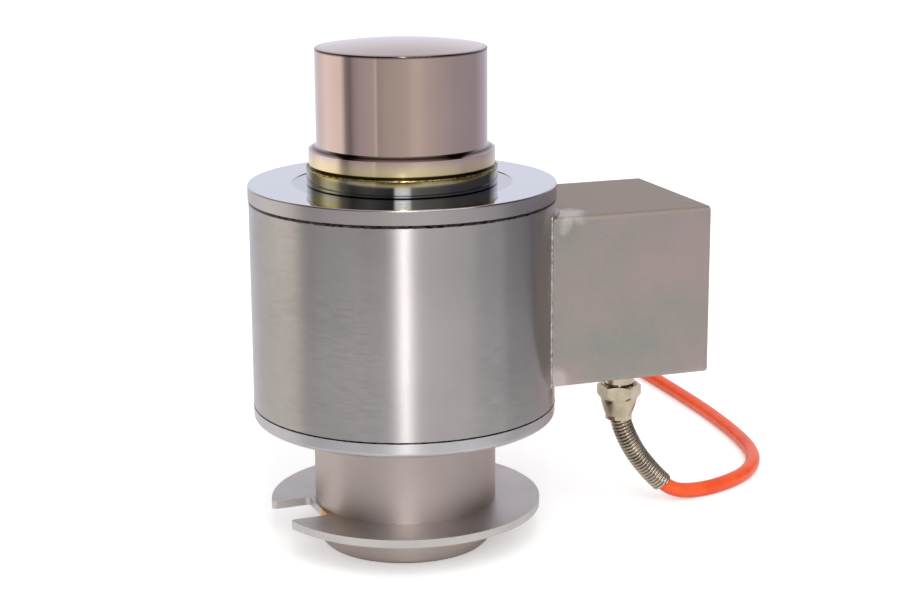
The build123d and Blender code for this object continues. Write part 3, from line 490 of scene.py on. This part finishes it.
def columnSteel():
    material, tree, shader = newMaterial("nickelPlatedSteel")
    where = objectPlace(tree)
    top, levels = columnFinish["top"], columnFinish["levels"]
    share = combine(tree, "DIVIDE", heightOf(tree, where), top * mm)
    colour = toneRamp(tree, share, [(level / top, tone) for level, tone, _ in levels])
    gloss = toneRamp(tree, share, [(level / top, rough) for level, _, rough in levels])
    cloud = noise(tree, where, 1000 / columnFinish["cloud"], detail=3.0)
    tinted = mix(tree, columnFinish["cloudStrength"], colour, cloud, "SOFT_LIGHT")
    around, up = columnFinish["markWaves"], 1000 / columnFinish["marks"]
    marks = noise(tree, objectPlace(tree, (around, around, up)), 1.0, detail=2.0)
    low, high = columnFinish["satin"]
    strength = spread(tree, gloss, low, high, 0.0, columnFinish["markStrength"])
    surface = {
        "Base Color": tinted,
        "Roughness": gloss,
        "Normal": raised(tree, marks, strength, columnFinish["markDepth"]),
        "Metallic": 1.0,
    }
    setNode(tree, shader, surface)
    brushAround(tree, shader, columnFinish["brushed"])
    return material


# metals, each piece with its own worked surface: two tones and the mm across their clouds, the
# least and most roughness, the grain's mm along x, y and z and its bump, and how far it is brushed
steelFinishes = {
    # circumferential brushing, which draws the lamps' reflections out up and down the wall
    "brushedTubeSteel": {
        "pieces": ("housing_tube",),
        "light": "#beb9b8",
        "dark": "#b6b1b1",
        "cloud": 60.0,
        "rough": (0.29, 0.38),
        "grain": (9.0, 9.0, 0.6),
        "bump": 0.2,
        "brushed": 1.0,
    },
    # turned and buffed ring below the tube, a bluish satin
    "buffedRingSteel": {
        "pieces": ("bottom_cover",),
        "light": "#d0cdd0",
        "dark": "#c0bdc1",
        "cloud": 50.0,
        "rough": (0.32, 0.38),
        "grain": (25.0, 25.0, 0.6),
        "bump": 0.05,
        "brushed": 0.9,
    },
    # faced disc: fine satin over the flats, sawn grain on the edge
    "groundDiscSteel": {
        "pieces": ("locating_disc",),
        "light": "#d4ceca",
        "dark": "#c5c0bd",
        # burnt gold: centre in mm, reach in mm, colour
        "patches": (((-46.0, -11.0, 19.0), 5.0, "#d9962f"),),
        "cloud": 35.0,
        "rough": (0.34, 0.44),
        "grain": (1.2, 1.2, 1.2),
        "bump": 0.24,
    },
    # folded sheet, bead blasted after welding: matt and warm, with soft cloudy patches
    "blastedSheetSteel": {
        "pieces": ("box_shell", "box_cover"),
        "light": "#bfafac",
        "dark": "#adaba5",
        # ground bright by hand: centre in mm, reach in mm, colour
        "patches": (
            ((71.0, -33.0, 171.5), 12.0, "#efe6e1"),
            ((63.5, -44.0, 86.5), 9.0, "#d3c9c4"),
        ),
        # the upper face, painted lighter as painted light: mm up the axis where it begins and where
        # it is full, colour
        "above": (166.6, 168.2, "#c1b4aa"),
        "cloud": 42.0,
        "rough": (0.62, 0.7),
        "grain": (0.9, 0.9, 0.9),
        "bump": 0.10,
    },
    # bare weld metal: bright ripples over dark crevices
    "weldBeadSteel": {
        "pieces": ("topSeamBead", "bottomSeamBead"),
        "light": "#4c4540",
        "dark": "#0b0908",
        "cloud": 2.4,
        "rough": (0.25, 0.5),
        "grain": (0.8, 0.8, 0.8),
        "bump": 0.5,
    },
    # pale dotted bead along the box
    "paleBeadSteel": {
        "pieces": ("boxSeamBead",),
        "light": "#ddd3cf",
        "dark": "#968c89",
        "cloud": 1.8,
        "rough": (0.3, 0.5),
        "grain": (0.8, 0.8, 0.8),
        "bump": 0.5,
    },
    # straw tinted weld at the sleeve's upper edge
    "tintedBeadSteel": {
        "pieces": ("sleeveSeamBead",),
        "light": "#d8c98f",
        "dark": "#5c4c26",
        "cloud": 2.6,
        "rough": (0.15, 0.35),
        "grain": (0.9, 0.9, 0.9),
        "bump": 0.4,
    },
    # drawn spring wire, bright and a little warm
    "springWireSteel": {
        "pieces": ("springWire",),
        "light": "#cdc1ae",
        "dark": "#a79b8d",
        "cloud": 12.0,
        "rough": (0.24, 0.32),
        "grain": (1.5, 1.5, 1.5),
        "bump": 0.05,
    },
    # nickel plate over turned brass, a warm khaki grey
    "nickelPlatedBrass": {
        "pieces": ("gland_nut", "gland_body", "gland_washer", "gland_lock_nut"),
        "light": "#cdbfa7",
        "dark": "#b6a994",
        "cloud": 9.0,
        "rough": (0.10, 0.17),
        "grain": (6.0, 6.0, 0.4),
        "bump": 0.08,
    },
    # stainless machine screws, lugs and the sealed bush
    "machinedSteel": {
        "pieces": (
            "cover_screws", "board_screws", "bridge_screws", "terminal_screws",
            "box_lugs", "board_standoffs", "feedthrough_bush",
        ),
        "light": "#c4c1bf",
        "dark": "#a5a2a1",
        "cloud": 8.0,
        "rough": (0.2, 0.32),
        "grain": (2.0, 2.0, 0.4),
        "bump": 0.08,
    },
    "goldPlatedPin": {
        "pieces": ("feedthrough_pins",),
        "light": "#e2c071",
        "dark": "#c9a352",
        "cloud": 3.0,
        "rough": (0.15, 0.25),
        "grain": (0.5, 0.5, 2.0),
        "bump": 0.05,
    },
    "tinnedCopper": {
        "pieces": ("core_ferrules", "solder_tabs"),
        "light": "#d9d7d3",
        "dark": "#b8b4ae",
        "cloud": 3.0,
        "rough": (0.25, 0.38),
        "grain": (0.8, 0.8, 0.8),
        "bump": 0.1,
    },
}
steelTexture = {
    "toneEdges": (0.35, 0.65),     # values of the cloud where the dark tone ends and the light begins
    "cloudDetail": 4.0,
    "cloudRoughness": 0.55,
    "grainEdges": (0.3, 0.7),      # values of the grain that are the smoothest and the roughest
    "grainDetail": 3.0,
    "grainRoughness": 0.6,
    "depth": 0.2,                  # mm
}
patchTexture = {
    "waves": 120.0,
    "detail": 2.0,
    "full": 1.1,                   # shares of a patch's reach, within which it is full
    "gone": 1.7,                   # and beyond which it is gone
}


def localTones(tree, where, colour, finish):
    # what only part of a piece shows: patches ground bright or burnt gold, and its upper face painted
    # lighter as painted light
    gone, full = patchTexture["gone"] * mm, patchTexture["full"] * mm
    for place, reach, tone in finish.get("patches", ()):
        middle = {"operation": "DISTANCE", 0: where, 1: tuple(v * mm for v in place)}
        away = addNode(tree, "ShaderNodeVectorMath", middle).outputs["Value"]
        waver = noise(tree, where, patchTexture["waves"], patchTexture["detail"])
        uneven = combine(tree, "MULTIPLY_ADD", waver, reach * mm, away)
        inside = spread(tree, uneven, gone * reach, full * reach)
        colour = mix(tree, inside, colour, linear(tone))
    # painted light: the upper face is lightened
    if "above" in finish:
        low, high, tone = finish["above"]
        upper = spread(tree, heightOf(tree, where), low * mm, high * mm)
        colour = mix(tree, upper, colour, linear(tone), "LIGHTEN")
    return colour


def steel(name, finish):
    material, tree, shader = newMaterial(name)
    texture = steelTexture
    where = objectPlace(tree)
    waves = 1000 / finish["cloud"]
    cloud = noise(tree, where, waves, texture["cloudDetail"], texture["cloudRoughness"])
    tones = zip(texture["toneEdges"], (finish["dark"], finish["light"]))
    colour = localTones(tree, where, toneRamp(tree, cloud, tones), finish)
    worked = objectPlace(tree, [1000 / size for size in finish["grain"]])
    grain = noise(tree, worked, 1.0, texture["grainDetail"], texture["grainRoughness"])
    surface = {
        "Base Color": colour,
        "Roughness": spread(tree, grain, *texture["grainEdges"], *finish["rough"]),
        "Normal": raised(tree, grain, finish["bump"], texture["depth"]),
        "Metallic": 1.0,
    }
    setNode(tree, shader, surface)
    if "brushed" in finish:
        brushAround(tree, shader, finish["brushed"])
    dress(material, *finish["pieces"])


dress(columnSteel(), "load_column")
for name, finish in steelFinishes.items():
    steel(name, finish)
print("metals dressed")

# top cover: faced and polished on top, satin on its edge
plateFinish = {
    "top": "#d2d2da",
    "topRough": 0.06,
    "edge": "#b6b1b1",
    "edgeRough": 0.32,
    "deck": 184.65,           # mm up the axis
    "deckBlend": 0.2,         # mm below it where the edge's finish ends
    "darkerRing": "#bdbdc2",        # a darker ring on the top face round the sleeve
    "darkerRingReach": 54.5,
    "darkerRingBlend": 0.8,         # mm to each side of its edge
    "cloud": 50.0,            # mm across the soft waves of the polished face
    "cloudDepth": 1.0,
    "cloudStrength": 0.04,
}


def plateSteel():
    material, tree, shader = newMaterial("polishedPlateSteel")
    where = objectPlace(tree)
    deck, reach, blend = (plateFinish[key] for key in ("deck", "darkerRingReach", "darkerRingBlend"))
    start = deck - plateFinish["deckBlend"]
    onTop = spread(tree, heightOf(tree, where), start * mm, deck * mm)
    outward = lengthOf(tree, objectPlace(tree, (1, 1, 0)))
    polished = spread(tree, outward, (reach - blend) * mm, (reach + blend) * mm)
    face = toneRamp(tree, polished, [(0.0, plateFinish["darkerRing"]), (1.0, plateFinish["top"])])
    cloud = noise(tree, where, 1000 / plateFinish["cloud"], detail=3.0)
    surface = {
        "Base Color": mix(tree, onTop, linear(plateFinish["edge"]), face),
        "Roughness": spread(
            tree, onTop, 0.0, 1.0, plateFinish["edgeRough"], plateFinish["topRough"]
        ),
        "Normal": raised(tree, cloud, plateFinish["cloudStrength"], plateFinish["cloudDepth"]),
        "Metallic": 1.0,
    }
    setNode(tree, shader, surface)
    return material


# seal sleeve: thin stainless tube with the colours that welding heat leaves, straw and olive
# near the upper weld and blue grey below
sleeveFinish = {
    "levels": (
        (184.7, "#b2b4b7"),
        (189.0, "#b5b4ae"),
        (191.2, "#bdb596"),
        (192.2, "#a89562"),
        (192.8, "#6d5a34"),
    ),
    "rough": 0.09,
    "waves": 60.0,            # to a metre: the colours' edges waver
    "waver": 4.0,             # mm up and down in all
    "contact": 185.3,         # top of the painted shade line where the sleeve meets the cover
    "shadeLineBlend": 0.2,      # mm below it over which the line fades in
    "contactTone": 0.02,
}


def sleeveSteel():
    material, tree, shader = newMaterial("heatTintedSteel")
    where = objectPlace(tree)
    height = heightOf(tree, where)
    levels, contact = sleeveFinish["levels"], sleeveFinish["contact"]
    waver = sleeveFinish["waver"] * mm
    cloud = noise(tree, where, sleeveFinish["waves"], detail=2.0)
    uneven = combine(tree, "MULTIPLY_ADD", cloud, waver, -waver / 2)
    low, high = levels[0][0], levels[-1][0]
    share = spread(tree, combine(tree, "ADD", height, uneven), low * mm, high * mm)
    colour = toneRamp(tree, share, [((at - low) / (high - low), tone) for at, tone in levels])
    # painted shade: the sleeve's foot is darkened where it meets the cover
    start = contact - sleeveFinish["shadeLineBlend"]
    clear = spread(tree, height, start * mm, contact * mm, sleeveFinish["contactTone"])
    surface = {
        "Base Color": mix(tree, 1.0, colour, clear, "MULTIPLY"),
        "Roughness": sleeveFinish["rough"],
        "Metallic": 1.0,
    }
    setNode(tree, shader, surface)
    return material


dress(plateSteel(), "top_cover")
dress(sleeveSteel(), "seal_sleeve")

# plastics, rubber, glass and board materials: pieces, base tone, a second tone that clouds it,
# how rough, the size of the surface's grain in mm and how deep it shows
softFinishes = {
    # extruded polyurethane jacket: strong orange with a soft sheen
    "orangeCableJacket": (("cableJacket",), "#f25a24", "#e64c1c", 0.32, 3.0, 0.08),
    "blackNitrileRubber": (("gland_seal", "box_gasket"), "#262626", "#1c1c1c", 0.7, 0.8, 0.2),
    "clawNylon": (("gland_claw",), "#2c2d2f", "#222325", 0.5, 1.0, 0.1),
    "tieNylon": (("cable_ties",), "#e9e6dc", "#dcd8cc", 0.42, 1.5, 0.1),
    "coreInsulation": (("bare_cores", "inner_cores"), "#d8453a", "#3f62b5", 0.45, 2.0, 0.05),
    "leadInsulation": (("gauge_leads",), "#c9443b", "#d8d4ca", 0.45, 2.0, 0.05),
    "loomSleeving": (("bridge_loom", "trim_loom"), "#33363a", "#26282b", 0.6, 0.6, 0.3),
    "sealingGlass": (("feedthrough_glass",), "#2f6b62", "#275b54", 0.12, 1.0, 0.05),
    "siliconeCoating": (("gauge_coatings",), "#c65a45", "#b54e3b", 0.55, 1.2, 0.15),
    "polyimideFilm": (("axial_gauges", "transverse_gauges"), "#c58a3a", "#a8712b", 0.3, 0.8, 0.1),
    "glassEpoxyBoard": (("trim_board", "bridge_board"), "#2f6b3d", "#286035", 0.4, 0.7, 0.15),
    "boardSpacerNylon": (("bridge_spacers",), "#e4e1d8", "#d6d2c6", 0.45, 1.5, 0.1),
    "plugNylon": (("trim_plug", "bridge_plug"), "#e8e4d6", "#dbd6c6", 0.45, 1.2, 0.1),
    "terminalNylon": (("terminal_block",), "#2f7d4c", "#286e42", 0.45, 1.2, 0.1),
    "resistorLacquer": (
        ("trim_resistors", "bridge_resistors"), "#6fa3b8", "#5f91a5", 0.35, 0.8, 0.1,
    ),
}
softTexture = {
    "waves": 80.0,                 # to a metre
    "toneEdges": (0.35, 0.62),
    "depth": 0.2,                  # mm
    "roughSpread": 0.06,
}


def softGoods(name, pieces, tone, second, rough, grainSize, strength):
    material, tree, shader = newMaterial(name)
    where = objectPlace(tree)
    cloud = noise(tree, where, softTexture["waves"], detail=3.0)
    grain = noise(tree, where, 1000 / grainSize, detail=2.0)
    either = softTexture["roughSpread"]
    surface = {
        "Base Color": toneRamp(tree, cloud, zip(softTexture["toneEdges"], (second, tone))),
        "Roughness": spread(tree, grain, 0.0, 1.0, rough - either, rough + either),
        "Normal": raised(tree, grain, strength, softTexture["depth"]),
    }
    setNode(tree, shader, surface)
    dress(material, *pieces)


for name, (pieces, *values) in softFinishes.items():
    softGoods(name, pieces, *values)
print("plastics dressed")

# studio: pale floor, white background and soft light all round. What polished metal mirrors is
# drawn apart from that light: walls, upper walls, a ceiling that is dark in front and paler behind,
# and a pale patch overhead
studio = {
    "cameraTurn": 108.3,      # degrees that bring the camera's side to the front of the map
    "level": 1.3,
    # degrees from the camera's side, left first, and the tone that polished walls show
    "round": (
        (-180, "#d0d2e2"),
        (-140, "#d6d4d8"),
        (-118, "#f4f0ee"),
        (-88, "#e9e4e0"),
        (-84, "#cfc9c6"),
        (-79, "#8f8a8a"),
        (-72, "#767276"),
        (-65, "#979499"),
        (-57, "#a6a3a8"),
        (-37, "#b0aeae"),
        (-34, "#c6c4c2"),
        (-31, "#a29f9c"),
        (-20, "#acaaa6"),
        (0, "#b4b2ae"),
        (8, "#bab8b3"),
        (16, "#c6c4bf"),
        (24, "#c6c4c0"),
        (32, "#bcbab7"),
        (50, "#b0aeb0"),
        (75, "#a2a0a8"),
        (115, "#9c9aa6"),
        (150, "#babccc"),
        (180, "#d0d2e2"),
    ),
    # the same round the upper walls, seen by what faces up a little
    "roundHigh": (
        (-180, "#d2d4de"),
        (-152, "#cfd1da"),
        (-134, "#7b776a"),
        (-118, "#8a8468"),
        (-102, "#e2d8b4"),
        (-88, "#d0c59e"),
        (-78, "#6e6a5d"),
        (-62, "#3a3836"),
        (-42, "#55524f"),
        (-24, "#3e3e42"),
        (-10, "#26262a"),
        (-8, "#ffffff"),
        (8, "#ffffff"),
        (11, "#7e7d7b"),
        (24, "#6c6965"),
        (42, "#62605c"),
        (62, "#4a474c"),
        (100, "#403f47"),
        (128, "#42434d"),
        (152, "#cfd1da"),
        (180, "#d2d4de"),
    ),
    # sines of the height where each zone starts to take over and where it is full
    "highFrom": (-0.06, 0.08),
    "ceilingFrom": (0.22, 0.72),
    "overheadFrom": (0.78, 0.9),
    "ceiling": "#1c1a1c",     # over the camera's side, so that front edges draw dark lines
    "ceilingBehind": "#a3a1a8",
    "frontFrom": (-0.72, -0.42),   # toward the camera, where the ceiling turns dark
    "overhead": "#b4b2b6",
    "diffuseLevel": 0.85,
}


def background(tree, colour, strength):
    values = {"Color": colour, "Strength": strength}
    return addNode(tree, "ShaderNodeBackground", values).outputs[0]


def setWorld():
    world = bpy.data.worlds.new("studio")
    world.use_nodes = True
    bpy.context.scene.world = world
    tree = world.node_tree
    tree.nodes.clear()
    ray = addNode(tree, "ShaderNodeLightPath").outputs
    where = addNode(tree, "ShaderNodeTexCoord").outputs["Generated"]
    facing = {"Rotation": (0, 0, math.radians(studio["cameraTurn"])), "Vector": where}
    turned = addNode(tree, "ShaderNodeMapping", facing).outputs[0]
    split = addNode(tree, "ShaderNodeSeparateXYZ", {"Vector": turned}).outputs
    turn = combine(tree, "ARCTAN2", split["Y"], split["X"])
    share = spread(tree, turn, -math.pi, math.pi)
    wall, upperWall = [
        toneRamp(tree, share, [(at / 360 + 0.5, tone) for at, tone in studio[zone]])
        for zone in ("round", "roundHigh")
    ]
    toHigh, toCeiling, toOverhead = [
        spread(tree, split["Z"], *studio[zone])
        for zone in ("highFrom", "ceilingFrom", "overheadFrom")
    ]
    toFront = spread(tree, split["X"], *studio["frontFrom"])
    ceiling = toneRamp(
        tree, toFront, [(0.0, studio["ceilingBehind"]), (1.0, studio["ceiling"])]
    )
    walls = mix(tree, toHigh, wall, upperWall)
    below = mix(tree, toCeiling, walls, ceiling)
    allRound = mix(tree, toOverhead, below, linear(studio["overhead"]))
    soft = background(tree, white, studio["diffuseLevel"])
    room = background(tree, allRound, studio["level"])
    lit = mixShaders(tree, ray["Is Glossy Ray"], soft, room)
    seen = combine(tree, "MAXIMUM", ray["Is Camera Ray"], ray["Is Transmission Ray"])
    shown = mixShaders(tree, seen, lit, background(tree, white, 1.0))
    addNode(tree, "ShaderNodeOutputWorld", {"Surface": shown})


floorFinish = {
    "size": 8.0,
    "tone": "#f6f6f6",
    "rough": 0.9,
    "lift": 0.3,              # keeps the open floor white and its shadow soft
    "benchReach": (0.36, 0.8),     # metres over which the metal stops reflecting the floor
}


def setFloor():
    bpy.ops.object.select_all(action="DESELECT")
    bpy.ops.mesh.primitive_plane_add(size=floorFinish["size"])
    floor = bpy.context.object
    floor.name = "floor"
    material, tree, shader = newMaterial("paleFloor")
    setNode(
        tree, shader, {"Base Color": linear(floorFinish["tone"]), "Roughness": floorFinish["rough"]}
    )
    ray = addNode(tree, "ShaderNodeLightPath").outputs
    lift = combine(tree, "MULTIPLY", ray["Is Camera Ray"], floorFinish["lift"])
    glow = addNode(tree, "ShaderNodeEmission", {"Color": white, "Strength": lift})
    both = addNode(tree, "ShaderNodeAddShader", {0: shader.outputs["BSDF"], 1: glow.outputs[0]})
    beyond = spread(tree, lengthOf(tree, objectPlace(tree)), *floorFinish["benchReach"])
    unseen = combine(tree, "MULTIPLY", beyond, ray["Is Glossy Ray"])
    clear = addNode(tree, "ShaderNodeBsdfTransparent")
    surface = mixShaders(tree, unseen, both.outputs[0], clear.outputs[0])
    output = next(node for node in tree.nodes if node.type == "OUTPUT_MATERIAL")
    setNode(tree, output, {"Surface": surface})
    floor.data.materials.append(material)


# dark card beside the bench that draws the tube's right side down
card = {"turn": 100.0, "distance": 0.45, "size": (0.42, 0.095), "tone": "#33282d", "rough": 0.9}


def setCard():
    # only the metal sees it
    turn = math.radians(card["turn"] - studio["cameraTurn"])
    width, height = card["size"]
    square = math.radians(90)
    out = card["distance"]
    bpy.ops.mesh.primitive_plane_add(
        size=1,
        location=(out * math.cos(turn), out * math.sin(turn), height / 2),
        rotation=(square, 0, turn + square),
    )
    piece = bpy.context.object
    piece.name = "darkCard"
    piece.scale = (width, height, 1)
    material, tree, shader = newMaterial("blackCard")
    setNode(tree, shader, {"Base Color": linear(card["tone"]), "Roughness": card["rough"]})
    piece.data.materials.append(material)
    piece.visible_camera = False
    piece.visible_diffuse = False
    piece.visible_shadow = False


# a tall strip over the camera for the long highlight, and a wide lamp to its right: degrees from
# the camera's side, left first, and up, metres away, metres wide and tall, watts
lamps = {
    "stripLamp": {"turn": 0.8, "height": 38.0, "distance": 2.2, "size": (0.2, 1.9), "power": 16.0},
    "sideLamp": {"turn": 31.0, "height": 42.0, "distance": 2.2, "size": (1.9, 0.9), "power": 9.0},
}
aimHeight = 0.12              # the lamps look at the middle of the cell


def lamp(name, turn, height, distance, size, power):
    data = bpy.data.lights.new(name, "AREA")
    data.shape = "RECTANGLE"
    data.size, data.size_y = size
    data.energy = power
    light = addObject(name, data)
    at = math.radians(turn - studio["cameraTurn"])
    rise = math.radians(height)
    out = Vector((math.cos(at) * math.cos(rise), math.sin(at) * math.cos(rise), math.sin(rise)))
    light.location = out * distance + Vector((0, 0, aimHeight))
    light.rotation_mode = "QUATERNION"
    light.rotation_quaternion = (-out).to_track_quat("-Z", "Y")


setWorld()
setFloor()
setCard()
for name, sizes in lamps.items():
    lamp(name, **sizes)
print("studio set")

view = bpy.context.scene.view_settings
view.view_transform = "Standard"
